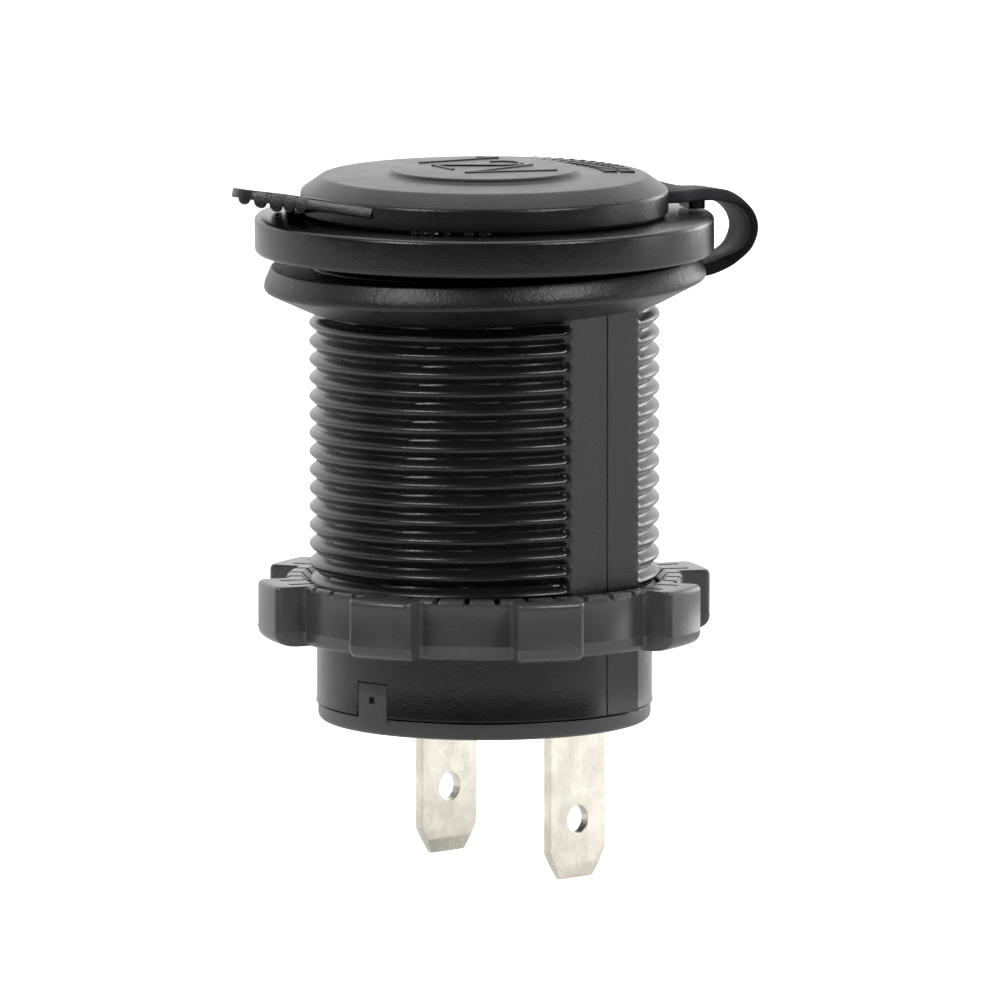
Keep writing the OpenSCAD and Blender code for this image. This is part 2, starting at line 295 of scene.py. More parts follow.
def moulded(name, colour, roughness, grain, mottle):
    """Moulded black plastic or rubber: fine grain, faint mottling and uneven gloss."""
    finish = Finish(name, colour, roughness)
    cloud = finish.noise(320.0, 4.0)
    speck = finish.noise(4200.0, 2.0)
    dark, pale = shade(colour, 1 - mottle), shade(colour, 1 + mottle)
    finish.drive("Base Color", finish.ramp(cloud, (0.15, dark), (0.85, pale)))
    gloss = finish.ranged(cloud, roughness - 0.06, roughness + 0.06, 0.15, 0.85)
    finish.drive("Roughness", gloss)
    finish.bumps(
        (finish.noise(1500.0, 3.0), grain * 0.7, 0.00012),
        (speck, grain, 0.00006),
    )
    return finish.material


def matt_strap(name, colour):
    """Matt rubber with painted light and shade: paler where the strap lies above the
    flange, darker in the loop below.
    """
    finish = Finish(name, colour, 0.6)
    apart = add_node(finish.nodes, "SeparateXYZ")
    finish.links.new(finish.place, apart.inputs[0])
    cloud = finish.noise(320.0, 4.0)
    # Painted shade darkens the loop round the flange, and painted light makes the part on
    # the flange paler
    painted_light_share = finish.ranged(apart.outputs["Z"], 0.0, 1.0, 3.4 * MM, 4.3 * MM)
    dark, pale = shade(colour, 1.2), shade(colour, 6.0)
    finish.drive("Base Color", finish.ramp(painted_light_share, (0.0, dark), (1.0, pale)))
    finish.drive("Roughness", finish.ranged(cloud, 0.5, 0.65))
    fill(finish.shader, Specular_IOR_Level=0.1)
    finish.bumps((finish.noise(1500.0, 3.0), 0.3, 0.00012))
    return finish.material


def sheet_metal(name, colour, roughness, streak=(600.0, 600.0, 60.0)):
    """Plated or bare sheet metal: faint rolling lines, blotches and fine pits."""
    finish = Finish(name, colour, roughness, metallic=1.0)
    blotch = finish.noise(450.0, 5.0)
    lines = finish.noise(8.0, 3.0, stretch=streak)
    dark, pale = shade(colour, 0.8), shade(colour, 1.08)
    finish.drive("Base Color", finish.ramp(blotch, (0.3, dark), (0.65, pale)))
    finish.drive("Roughness", finish.ranged(lines, roughness - 0.08, roughness + 0.1))
    finish.bumps((lines, 0.25, 0.00003), (finish.noise(2600.0, 2.0), 0.3, 0.00003))
    return finish.material


# Each finish with its maker, its colour in the panel and the maker's own values
FINISHES = {
    "barrel_black": (moulded, "barrel", 0.27, 0.2, 0.1),
    "end_black": (moulded, "end_cap", 0.36, 0.2, 0.12),
    "nut_black": (moulded, "nut", 0.28, 0.15, 0.1),
    "rubber_black": (moulded, "rubber", 0.34, 0.3, 0.15),
    "ring_black": (moulded, "rubber", 0.4, 0.5, 0.15),
    "strap_black": (matt_strap, "rubber"),
    "tinned_blade": (sheet_metal, "blade", 0.3),
    "drawn_nickel": (sheet_metal, "well", 0.24, (500.0, 500.0, 40.0)),
    "rivet_brass": (sheet_metal, "contact", 0.28),
    "pressed_fibre": (moulded, "fibre", 0.7, 0.5, 0.25),
}


def finish_of(name):
    """The material of this name, made on first use from the colours in the panel."""
    made = bpy.data.materials.get(name)
    if made:
        return made
    make, colour, *values = FINISHES[name]
    return make(name, getattr(bpy.context.scene.socket_colours, colour), *values)


# What a user would change


class BarrelSizes(bpy.types.PropertyGroup):
    crest_radius: bpy.props.FloatProperty(
        name="Thread radius",
        description="Radius of the thread's crest",
        default=14.2 * MM,
        unit="LENGTH",
    )
    root_radius: bpy.props.FloatProperty(
        name="Root radius",
        description="Radius at the bottom of the thread",
        default=13.55 * MM,
        unit="LENGTH",
    )
    pitch: bpy.props.FloatProperty(
        name="Pitch",
        description="Rise of the thread in one turn",
        default=1.5 * MM,
        unit="LENGTH",
    )
    plain_radius: bpy.props.FloatProperty(
        name="Plain radius",
        description="Radius of the barrel below the thread",
        default=13.6 * MM,
        unit="LENGTH",
    )
    flange_radius: bpy.props.FloatProperty(
        name="Flange radius",
        description="Radius of the flange that rests on the panel",
        default=18.6 * MM,
        unit="LENGTH",
    )


class NutSizes(bpy.types.PropertyGroup):
    lobe_radius: bpy.props.FloatProperty(
        name="Lobe radius",
        description="Radius over the nut's lobes",
        default=18.6 * MM,
        unit="LENGTH",
    )
    core_radius: bpy.props.FloatProperty(
        name="Core radius",
        description="Radius of the nut between its lobes",
        default=16.1 * MM,
        unit="LENGTH",
    )
    height: bpy.props.FloatProperty(
        name="Height", description="Height of the nut", default=4.9 * MM, unit="LENGTH"
    )
    lobes: bpy.props.IntProperty(
        name="Lobes", description="Number of lobes round the nut", default=8, min=3
    )
    serrations: bpy.props.IntProperty(
        name="Serrations",
        description="Number of grooves across the nut's top",
        default=40,
        min=8,
    )


class CapSizes(bpy.types.PropertyGroup):
    radius: bpy.props.FloatProperty(
        name="Cap radius",
        description="Radius of the cap's rim",
        default=14.9 * MM,
        unit="LENGTH",
    )
    badge_radius: bpy.props.FloatProperty(
        name="Disc radius",
        description="Radius of the raised disc on the cap",
        default=7.8 * MM,
        unit="LENGTH",
    )
    tab_thickness: bpy.props.FloatProperty(
        name="Tab thickness",
        description="Thickness of the pull tab",
        default=0.75 * MM,
        unit="LENGTH",
    )
    mark_height: bpy.props.FloatProperty(
        name="Mark height",
        description="Height of the raised voltage mark",
        default=0.1 * MM,
        unit="LENGTH",
    )


class SocketColours(bpy.types.PropertyGroup):
    barrel: bpy.props.FloatVectorProperty(
        name="Barrel",
        description="Colour of the barrel and its flange",
        subtype="COLOR",
        default=(0.007, 0.007, 0.0075),
    )
    end_cap: bpy.props.FloatVectorProperty(
        name="End cap",
        description="Colour of the end cap",
        subtype="COLOR",
        default=(0.042, 0.042, 0.043),
    )
    nut: bpy.props.FloatVectorProperty(
        name="Nut",
        description="Colour of the ring nut",
        subtype="COLOR",
        default=(0.058, 0.058, 0.059),
    )
    rubber: bpy.props.FloatVectorProperty(
        name="Rubber",
        description="Colour of the cap, strap and ring",
        subtype="COLOR",
        default=(0.006, 0.006, 0.0065),
    )
    blade: bpy.props.FloatVectorProperty(
        name="Blades",
        description="Colour of the tinned blades",
        subtype="COLOR",
        default=(0.93, 0.885, 0.775),
    )
    well: bpy.props.FloatVectorProperty(
        name="Well",
        description="Colour of the drawn metal well",
        subtype="COLOR",
        default=(0.66, 0.64, 0.6),
    )
    contact: bpy.props.FloatVectorProperty(
        name="Contact",
        description="Colour of the centre contact",
        subtype="COLOR",
        default=(0.78, 0.57, 0.27),
    )
    fibre: bpy.props.FloatVectorProperty(
        name="Fibre",
        description="Colour of the insulating discs",
        subtype="COLOR",
        default=(0.2, 0.07, 0.03),
    )


class StageSettings(bpy.types.PropertyGroup):
    azimuth: bpy.props.FloatProperty(
        name="Azimuth",
        description="Direction of the camera round the socket",
        default=math.radians(-15.0),
        subtype="ANGLE",
    )
    elevation: bpy.props.FloatProperty(
        name="Elevation",
        description="Height of the camera as an angle",
        default=math.radians(7.6),
        subtype="ANGLE",
    )
    distance: bpy.props.FloatProperty(
        name="Distance",
        description="Distance of the camera from the socket",
        default=1.7,
        unit="LENGTH",
    )
    floor_colour: bpy.props.FloatVectorProperty(
        name="Floor",
        description="Colour of the floor",
        subtype="COLOR",
        default=(0.8, 0.8, 0.8),
    )


# Pieces


class SOCKET_OT_stage(bpy.types.Operator):
    """Floor, soft light, white surroundings and the camera"""

    bl_idname = "socket.stage"
    bl_label = "Stage"

    def execute(self, context):
        settings = context.scene.socket_stage
        self.add_floor(settings)
        self.light_world(context.scene)
        self.add_lamps()
        self.add_camera(context.scene, settings)
        context.scene.view_settings.view_transform = "Standard"
        return {"FINISHED"}

    def add_floor(self, settings):
        half = 6.0
        level = FLOOR_LEVEL * MM
        corners = [(-half, -half, level), (half, -half, level)]
        corners += [(half, half, level), (-half, half, level)]
        pale, dim = shade(settings.floor_colour), shade(settings.floor_colour, 0.12)
        finish = Finish("pale_floor", settings.floor_colour, 0.9)
        # Far in front the floor's colour is painted dark, as shade where it runs out of
        # the light, and it is white to the camera
        behind = self.depth_behind(finish.nodes, finish.links, finish.place, settings)
        share = finish.ranged(behind, 0.0, 1.0, -0.4, -0.08)
        finish.drive("Base Color", finish.ramp(share, (0.0, dim), (1.0, pale)))
        fill(finish.shader, Specular_IOR_Level=0.0, Emission_Color=WHITE)
        finish.drive("Roughness", finish.ranged(finish.noise(30.0, 2.0), 0.85, 0.95))
        path = add_node(finish.nodes, "LightPath")
        mirrored = add_node(finish.nodes, "Math")
        mirrored.operation = "MULTIPLY"
        finish.links.new(path.outputs["Is Glossy Ray"], mirrored.inputs[0])
        near = finish.ranged(behind, 0.0, 0.5, -0.05, 0.3)
        finish.links.new(near, mirrored.inputs[1])
        seen = add_node(finish.nodes, "Math")
        seen.operation = "MAXIMUM"
        finish.links.new(path.outputs["Is Camera Ray"], seen.inputs[0])
        finish.links.new(mirrored.outputs[0], seen.inputs[1])
        finish.drive("Emission Strength", finish.ranged(seen.outputs[0], 0, 0.8, 0, 1))
        floor = new_piece("floor", corners, [(0, 1, 2, 3)], [finish.material])

    def depth_behind(self, nodes, links, place, settings):
        """How far a place or direction lies behind the socket, as the camera stands."""
        node = add_node(nodes, "VectorMath")
        node.operation = "DOT_PRODUCT"
        a = settings.azimuth
        node.inputs[1].default_value = (-math.sin(a), math.cos(a), 0.0)
        links.new(place, node.inputs[0])
        return node.outputs["Value"]

    def light_world(self, scene):
        world = bpy.data.worlds.new("white_surroundings")
        world.use_nodes = True
        nodes, links = world.node_tree.nodes, world.node_tree.links
        nodes.clear()
        output = add_node(nodes, "OutputWorld")
        soft = add_node(nodes, "Background", Color=WHITE)
        # The white backdrop stands behind the socket, and the room before it is dim
        place = add_node(nodes, "TexCoord").outputs["Generated"]
        behind = self.depth_behind(nodes, links, place, scene.socket_stage)
        fall = add_node(nodes, "MapRange", From_Min=-0.3, From_Max=0.8)
        fill(fall, To_Min=0.04, To_Max=1.38)
        fall.interpolation_type = "SMOOTHSTEP"
        links.new(behind, fall.inputs["Value"])
        links.new(fall.outputs["Result"], soft.inputs["Strength"])
        white = add_node(nodes, "Background", Color=WHITE, Strength=1.0)
        path = add_node(nodes, "LightPath")
        mix = add_node(nodes, "MixShader")
        links.new(path.outputs["Is Camera Ray"], mix.inputs["Fac"])
        links.new(soft.outputs[0], mix.inputs[1])
        links.new(white.outputs[0], mix.inputs[2])
        links.new(mix.outputs[0], output.inputs["Surface"])
        scene.world = world

    def add_lamps(self):
        # Name, direction and height in degrees, distance, width, height, watts
        lamps = (
            ("left_softbox", -155.0, 38.0, 0.9, 0.3, 0.3, 3.4),
            ("right_softbox", -57.0, 38.0, 0.9, 0.3, 0.3, 3.6),
            ("rim_strip", 32.0, 5.0, 0.8, 0.3, 0.4, 1.45),
            ("side_strip", -14.0, 8.0, 0.8, 0.25, 0.35, 0.6),
            ("top_softbox", 75.0, 80.0, 0.5, 0.4, 0.4, 0.5),
        )
        for name, around, up, far, width, height, power in lamps:
            data = bpy.data.lights.new(name, "AREA")
            data.shape = "RECTANGLE"
            data.size, data.size_y = width, height
            data.energy = power
            lamp = bpy.data.objects.new(name, data)
            rise = math.radians(up)
            away = polar(far / MM * math.cos(rise), around, far / MM * math.sin(rise))
            lamp.location = away
            lamp.rotation_euler = away.to_track_quat("Z", "Y").to_euler()
            bpy.context.scene.collection.objects.link(lamp)

    def add_camera(self, scene, settings):
        a, e = settings.azimuth, settings.elevation
        back = Vector(
            (math.sin(a) * math.cos(e), -math.cos(a) * math.cos(e), math.sin(e))
        )
        right = Vector((math.cos(a), math.sin(a), 0.0))
        sideways, up = VIEW_MIDDLE
        target = right * sideways * MM + Vector((0.0, 0.0, up * MM))
        data = bpy.data.cameras.new("camera")
        data.lens = data.sensor_width * settings.distance / (VIEW_WIDTH * MM)
        data.clip_start, data.clip_end = 0.05, 50.0
        camera = bpy.data.objects.new("camera", data)
        camera.location = target + back * settings.distance
        camera.rotation_euler = back.to_track_quat("Z", "Y").to_euler()
        scene.collection.objects.link(camera)
        scene.camera = camera


class SOCKET_OT_barrel(bpy.types.Operator):
    """Barrel with its flange, thread, smooth strips and mouth"""

    bl_idname = "socket.barrel"
    bl_label = "Threaded barrel"

    def execute(self, context):
        sizes = context.scene.socket_barrel
        self.crest = sizes.crest_radius / MM
        self.root = sizes.root_radius / MM
        self.pitch = sizes.pitch / MM
        self.plain = sizes.plain_radius / MM
        self.flange = sizes.flange_radius / MM
        points, faces = self.shell()
        piece = new_piece("barrel", points, faces, [finish_of("barrel_black")], 40.0)
        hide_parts("socket_body")
        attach(piece, "socket")
        return {"FINISHED"}

    def columns(self):
        """Angles of the grid's columns, with extra ones at strips and notches."""
        special = []
        flat = self.flat_angle()
        step = math.degrees(math.asin(LAND_HALF_W / self.plain))
        offsets = (0.0, flat, step, flat + 1.3, flat + 1.9, flat + 2.5, flat + 3.1)
        line = [MOULD_LINE + o for o in (-0.55, -0.3, 0.3, 0.55)]
        for centre in (LAND_ANGLE, LAND_ANGLE + 180.0):
            special += [centre + s * o for o in offsets for s in (-1, 1)]
            special += [centre + o for o in line]
        for centre in LATCH_ANGLES:
            special += [centre + s * o for o in (NOTCH_HALF, 8.4) for s in (-1, 1)]
        special = sorted({round(a % 360.0, 4) for a in special})
        even = []
        for i in range(300):
            angle = i * 1.2
            gap = min(abs(turn_from(s, angle)) for s in special)
            in_notch = any(6.0 < abs(turn_from(c, angle)) < 8.8 for c in LATCH_ANGLES)
            if gap > 0.4 and not in_notch:
                even.append(angle)
        return sorted(special + even)

    def flat_angle(self):
        """Half the angle that a smooth strip takes at the thread's crest."""
        return math.degrees(math.asin(LAND_HALF_W / self.crest))

    def thread_radius(self, angle, height):
        first = CREST_HEIGHT + self.pitch * (angle - CREST_ANGLE) / 360.0
        turn = (height - first) / self.pitch
        wave = 0.5 + 0.5 * math.cos(2 * math.pi * turn)
        return self.root + (self.crest - self.root) * wave**0.8

    def outer_radius(self, angle, height):
        # Degrees from the nearer strip's middle, which is flat between its two edges
        side = (angle - LAND_ANGLE + 90.0) % 180.0 - 90.0
        flat_angle = self.flat_angle()
        proud = self.plain + 0.05
        groove = 0.09 * smooth_step(2.2 - abs(side - MOULD_LINE) / 0.25)
        on_strip = abs(side) <= flat_angle + 0.01
        if height < THREAD_END and side < MOULD_LINE:
            return self.plain + 0.05 * smooth_step(1 + side / 14.0) - groove
        if on_strip:
            return proud / math.cos(math.radians(side)) - groove
        if height < THREAD_END:
            return self.plain
        thread = self.thread_radius(angle, height)
        fade = smooth_step((height - THREAD_END) / 0.9)
        thread = self.plain + (thread - self.plain) * fade
        corner = self.crest - 0.02
        return corner + (thread - corner) * smooth_step((abs(side) - flat_angle) / 2.6)

    def shell(self):
        columns = self.columns()
        notch_top = BARREL_END + LATCH_HIGH
        # A hairline gap over the end cap, and a trace of flash on the barrel's edge
        low = BARREL_END + 0.1
        wall = [(low + 0.04, 0.06), (low + 0.2, 0.06), (low + 0.42, 0.0)]
        wall.append((notch_top, 0.0))
        self.notch_row = len(wall)
        wall.append((THREAD_END - 0.02, 0.0))
        rows_in_pitch = 12
        count = int(-THREAD_END / self.pitch * rows_in_pitch)
        wall += [(THREAD_END * (1 - i / count), 0.0) for i in range(count)]
        flange = softened(
            [
                (self.crest + 0.2, 0.0, 0.0),
                (self.flange, 0.0, 0.5),
                (self.flange, SEAT_TOP, 0.42),
                (11.5, SEAT_TOP, 0.12),
                (10.95, SEAT_TOP - 0.5, 0.0),
                (10.95, 1.6, 0.0),
                (BORE_R, 1.6, 0.0),
                (BORE_R, notch_top, 0.0),
                (BORE_R, low, 0.0),
            ],
            5,
        )
        points = []
        rows = 1 + len(wall) + len(flange)
        for angle in columns:
            points.append(polar(self.outer_radius(angle, low) - 0.1, angle, low))
            for z, flash in wall:
                points.append(polar(self.outer_radius(angle, z) + flash, angle, z))
            for p in flange:
                points.append(polar(p.x, self.notch_angle(angle, p), p.y))
        faces = grid_faces(len(columns), rows)
        return points, self.cut_notches(columns, rows, faces)

    def notch_angle(self, angle, point):
        """The notch's sides run parallel, so in the bore they stand further apart."""
        if abs(point.x - BORE_R) > 0.01 or point.y > BARREL_END + LATCH_HIGH + 0.1:
            return angle
        for centre in LATCH_ANGLES:
            off = turn_from(centre, angle)
            if abs(abs(off) - NOTCH_HALF) < 0.01:
                return angle + math.copysign(NOTCH_HALF_IN_BORE - NOTCH_HALF, off)
        return angle

    def cut_notches(self, columns, rows, faces):
        """Opens the two latch notches at the barrel's lower end, and walls them."""
        # The rows below the notch's top go, and so do the bore's last two
        top, bore = self.notch_row, rows - 2
        gone, walls = set(), []
        for centre in LATCH_ANGLES:
            found = [
                i
                for i, a in enumerate(columns)
                if abs(turn_from(centre, a)) < NOTCH_HALF + 0.004
            ]
            for i, k in zip(found, found[1:]):
                gone |= {(i, j) for j in (*range(top), bore, bore + 1)}
                a, b = i * rows, k * rows
                walls.append((a + top, a + bore, b + bore, b + top))
            for i, flip in ((found[0], False), (found[-1], True)):
                side = [i * rows + j for j in (*range(top + 1), bore, bore + 1)]
                walls.append(tuple(side if flip else side[::-1]))
        kept = [f for n, f in enumerate(faces) if (n // rows, n % rows) not in gone]
        return kept + walls


class SOCKET_OT_ring_nut(bpy.types.Operator):
    """Castellated ring nut with rounded lobes and radial serrations"""

    bl_idname = "socket.ring_nut"
    bl_label = "Ring nut"

    def execute(self, context):
        sizes = context.scene.socket_nut
        self.lobe = sizes.lobe_radius / MM
        self.core = sizes.core_radius / MM
        self.lobes = sizes.lobes
        self.grooves = sizes.serrations
        top = NUT_BOTTOM + sizes.height / MM
        columns = self.columns()
        sections = [self.section(angle, NUT_BOTTOM, top) for angle in columns]
        points = [
            polar(r, angle, z)
            for angle, section in zip(columns, sections)
            for r, z in section
        ]
        faces = grid_faces(len(columns), len(sections[0]))
        piece = new_piece("nut", points, faces, [finish_of("nut_black")], 38.0)
        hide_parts("ring_nut")
        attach(piece, "nut")
        return {"FINISHED"}

    def columns(self):
        """Angles of the grid's columns, close together at lobe ends and grooves."""
        found = set()
        share = 360.0 / self.grooves
        for i in range(self.grooves):
            middle = NUT_TURN + share * (i + 0.5)
            for off in (0.0, 0.7, 0.95, 1.6, 2.4, 3.2, 4.0):
                found |= {round(middle + s * off, 3) for s in (-1, 1)}
        steps = (7.1, 7.5, 7.9, 8.2, 8.45, 8.65, 8.78, 8.85, 8.95, 9.05, 9.2, 9.5, 10.1)
        for i in range(self.lobes):
            middle = NUT_TURN + 360.0 * i / self.lobes
            for off in steps:
                found |= {round(middle + s * off, 3) for s in (-1, 1)}
        kept = []
        for angle in sorted(a % 360.0 for a in found):
            if not kept or angle - kept[-1] > 0.03:
                kept.append(angle)
        return kept

    def side_radius(self, angle):
        """Radius of the side: rounded corners on the lobes, fillets at their feet."""
        share = 360.0 / self.lobes
        off = abs((angle - NUT_TURN + share / 2) % share - share / 2)
        corner, fillet = 0.55, 0.35
        # Degrees from the lobe's middle to the corner, the side and the fillet's end
        round_from, side, foot = 7.1, 8.86, 10.1
        if off <= round_from:
            return self.lobe
        if off <= side:
            turn = min(1.0, (off - round_from) / 1.75)
            return self.lobe - corner * (1 - math.sqrt(1 - turn * turn))
        if off < foot:
            turn = min(1.0, (foot - off) / 1.15)
            return self.core + fillet * (1 - math.sqrt(1 - turn * turn))
        return self.core

    def section(self, angle, bottom, top):
        outer = self.side_radius(angle)
        lobe = (outer - self.core) / (self.lobe - self.core)
        bore, lead = 14.28, 0.6
        inset, rise = 0.5 + 0.95 * lobe, 0.6 + 0.45 * lobe
        share = 360.0 / self.grooves
        off = abs((angle - NUT_TURN) % share - share / 2)
        depth = 0.35 * min(1.0, max(0.0, (0.95 - off) / 0.25))
        section = [(bore, bottom + lead), (bore + lead, bottom)]
        for k in range(7):
            a = math.radians(90.0 * k / 6)
            section.append(
                (outer - inset + inset * math.sin(a), bottom + rise * (1 - math.cos(a)))
            )
        section += [(outer, bottom + 1.1), (outer + 0.035, bottom + 1.16)]
        section += [(outer + 0.035, bottom + 1.22), (outer, bottom + 1.28)]
        edge = ((0.0, 0.6), (0.0, 0.38), (0.05, 0.2), (0.13, 0.08), (0.3, 0.0))
        section += [(outer - inward, top - down) for inward, down in edge]
        last = outer - 0.3
        for r in (17.0, 16.8, 15.9, 15.3, bore + lead):
            last = min(r, last - 0.05)
            section.append((last, top))
        # The grooves run out to just past the core, and open in its side
        section = [
            (r, min(z, top - depth) if r <= 16.85 and z > top - 0.5 else z)
            for r, z in section
        ]
        section.append((bore, top - lead))
        return section


class SOCKET_OT_sealing_ring(bpy.types.Operator):
    """Rubber ring under the flange, with the cone that centres it"""

    bl_idname = "socket.sealing_ring"
    bl_label = "Sealing ring"

    def execute(self, context):
        rubber = [finish_of("ring_black")]
        ring = turned(
            [
                (14.4, -3.5, 0.0),
                (14.65, -3.5, 0.12),
                (17.9, -1.9, 0.25),
                (17.9, -1.35, 0.4),
                (17.3, -0.05, 0.12),
                (14.4, 0.0, 0.0),
            ]
        )
        tilt = Matrix.Translation((0.0, 0.0, -0.6 * MM)) @ Matrix.Rotation(
            math.radians(-1.8), 4, "Y"
        )
        points, faces = moved(ring, tilt)
        piece = new_piece("ring", points, faces, rubber)
        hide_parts("sealing_ring")
        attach(piece, "socket")
        return {"FINISHED"}


def band_section(middle, width, thick, cut):
    """The strap's cross-section as (across, up) points, with rounded edges."""
    half_w, half_t = width / 2, thick / 2
    corners = [
        (-half_w, middle - half_t, cut),
        (half_w, middle - half_t, cut),
        (half_w, middle + half_t, cut),
        (-half_w, middle + half_t, cut),
    ]
    return [(p.x, p.y) for p in softened(corners, 3)]


class SOCKET_OT_strap(bpy.types.Operator):
    """Strap that loops round the flange up to the cap"""

    bl_idname = "socket.strap"
    bl_label = "Strap"

    def execute(self, context):
        sections = []
        path = self.path()
        for i, here in enumerate(path):
            ahead = path[min(i + 1, len(path) - 1)] - path[max(i - 1, 0)]
            out = Vector((ahead.y, -ahead.x)).normalized()
            # It widens into the cap's rim and thins round the bend, and one edge droops
            upper = smooth_step((here.y - 1.6) / 2.4)
            flare = smooth_step((17.6 - here.x) / 2.6) * upper
            bend = smooth_step((here.x - 19.4) / 1.6)
            width, thick = 6.0 + 1.0 * bend + 2.6 * flare, 1.0 - 0.38 * bend
            section = []
            for across, up in reversed(band_section(0.0, width, thick, 0.22)):
                droop = 0.07 * (1 - flare) * (across + width / 2)
                x, z = here.x + out.x * up, here.y + out.y * up - droop
                section.append(metres(x, across, z))
            sections.append(section)
        points, faces = lofted(sections)
        piece = new_piece("strap", points, faces, [finish_of("strap_black")], 50.0)
        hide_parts("cap_strap")
        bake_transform(piece)
        return {"FINISHED"}

    def path(self):
        """Middle line of the strap from the ring to the cap, as (x, z) points."""
        knots = [
            (15.2, -1.85), (16.4, -1.8), (17.9, -1.7), (19.1, -1.32), (20.2, -0.75),
            (21.2, 0.1), (21.68, 1.1), (21.75, 2.0), (21.38, 2.95), (20.55, 3.8),
            (19.6, 4.24), (18.6, 4.42), (17.4, 4.45), (16.2, 4.45), (15.0, 4.45),
            (13.6, 4.45), (13.0, 4.45),
        ]
        line = []
        for i in range(1, len(knots) - 2):
            a, b, c, d = (Vector(knots[i + k]) for k in (-1, 0, 1, 2))
            for step in range(6):
                t = step / 6
                spline = 2 * b + (c - a) * t
                spline += (2 * a - 5 * b + 4 * c - d) * t * t
                spline += (3 * b - a - 3 * c + d) * t**3
                line.append(0.5 * spline)
        return line + [Vector(knots[-2])]


class SOCKET_OT_rubber_cap(bpy.types.Operator):
    """Rubber cap with its raised disc, voltage mark, plug and ribbed pull tab"""

    bl_idname = "socket.rubber_cap"
    bl_label = "Rubber cap"

    def execute(self, context):
        sizes = context.scene.socket_cap
        self.radius = sizes.radius / MM
        self.badge = sizes.badge_radius / MM
        self.thick = sizes.tab_thickness / MM
        self.mark = sizes.mark_height / MM
        # The strap's pad rests on the flange
        pad = lofted(
            [
                [metres(x, y, z) for y, z in band_section(3.56, 3.4 - cut, 0.9, 0.2)]
                for x, cut in ((16.75, 0.4), (17.0, 0.0), (17.85, 0.0), (18.1, 0.4))
            ]
        )
        parts = joined(
            self.shell(), self.tab(), pad, self.figures(), self.ticks(), self.nubs()
        )
        piece = new_piece("cap", *parts, [finish_of("rubber_black")], 30.0)
        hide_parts("rubber_cap")
        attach(piece, "cap")
        return {"FINISHED"}

    def shell(self):
        return turned(
            [
                (0.0, 4.35, 0.0),
                (8.65, 4.35, 0.4),
                (8.65, -0.6, 0.2),
                (10.15, -0.6, 0.5),
                (10.15, 0.1, 0.2),
                (10.3, 0.6, 0.2),
                (10.15, 1.1, 0.2),
                (10.15, SEAT_TOP, 0.0),
                (self.radius - 0.35, SEAT_TOP, 0.1),
                (self.radius, SEAT_TOP + 0.35, 0.12),
                (self.radius, 5.08, 0.26),
                (self.radius - 1.7, 6.26, 0.2),
                (self.badge + 0.15, 6.4, 0.25),
                (self.badge - 0.15, DISC_TOP, 0.14),
                (0.0, DISC_TOP, 0.0),
            ]
        )

    def tab(self):
        """The pull tab, with half-round ribs that cross its underside at a slant."""
        tip, tip_r, root_w = 21.1, 3.5, 9.3
        corner = math.sqrt((self.radius + 0.2) ** 2 - root_w**2)
        centre = tip - tip_r
        side = math.hypot(centre - corner, root_w)
        tangent = math.atan2(root_w, corner - centre) - math.acos(tip_r / side)
        touch_u = centre + tip_r * math.cos(tangent)
        touch_w = tip_r * math.sin(tangent)

        def half_width(u):
            if u <= corner:
                return root_w
            if u < touch_u:
                share = (u - corner) / (touch_u - corner)
                return root_w + (touch_w - root_w) * share
            return math.sqrt(max(tip_r**2 - (u - centre) ** 2, 0.0))

        # Sections run along the ribs, so each is a line of constant cos * u + sin * w
        cos, sin = math.cos(TAB_SLANT), math.sin(TAB_SLANT)

        def reach(line, way):
            """Where a line leaves the tab on one side, found by halving."""
            middle = sin * (line - cos * centre)
            low, high = 0.0, 2 * root_w
            for _ in range(40):
                half = (low + high) / 2
                w = middle + way * half
                u = (line - sin * w) / cos
                inside = corner - 3.2 <= u <= tip and abs(w) <= half_width(u)
                low, high = (half, high) if inside else (low, half)
            return middle + way * low

        farthest = centre * cos + tip_r - 0.004
        lines = [corner * cos - 2.4 + 0.4 * i for i in range(10)]
        count = 150
        start = lines[-1] + 0.05
        for i in range(count + 1):
            lines.append(start + (farthest - start) * (1 - (1 - i / count) ** 1.25))
        ribs = ((19.42, 0.46), (18.1, 0.5), (16.81, 0.52), (15.7, 0.44), (14.74, 0.42))
        rise = math.radians(10.5)
        sections = []
        for line in lines:
            near, far = reach(line, -1), reach(line, 1)
            deep = 0.0
            for rib, rib_r in ribs:
                if abs(line - rib) < rib_r:
                    deep = 0.06 + 0.9 * math.sqrt(rib_r**2 - (line - rib) ** 2)
            thick = self.thick + 0.22 * smooth_step((19.6 - line) / 4.0)
            cut = min(0.2, (far - near) * 0.3)
            outline = [(far, -thick / 2 - deep, cut), (near, -thick / 2 - deep, cut)]
            lean = min(0.2, (far - near) * 0.2)
            outline += [(near + lean, thick / 2, cut), (far, thick / 2, cut)]
            section = []
            for p in softened(outline, 3):
                u = (line - sin * p.x) / cos
                out = u - corner
                # The soft tab lifts towards its tip, and its far side hangs lower
                x = -(corner + out * math.cos(rise)) + p.y * math.sin(rise)
                z = 4.58 + out * math.sin(rise) + p.y * math.cos(rise)
                hang = min(0.084 * (p.x + root_w), 1.12 + 0.12 * max(0.0, out))
                section.append(metres(x, p.x, z - hang))
            sections.append(section)
        return lofted(sections)

    def nubs(self):
        """Small moulded nubs at the foot of the rim, at the front."""
        parts = []
        for i, angle in enumerate((-127.0, -124.2, -121.0, -116.4, -109.7, -104.8)):
            wide = 0.3 + 0.1 * (i % 3)
            sections = []
            for r in (self.radius - 0.5, self.radius + 0.25, self.radius + 0.4):
                size = wide if r < self.radius + 0.3 else wide * 0.6
                section = []
                for k in range(12):
                    turn = 2 * math.pi * k / 12
                    around = angle + math.degrees(size * math.cos(turn) / r)
                    section.append(polar(r, around, 3.19 + 0.18 * math.sin(turn)))
                sections.append(section)
            parts.append(lofted(sections))
        return joined(*parts)

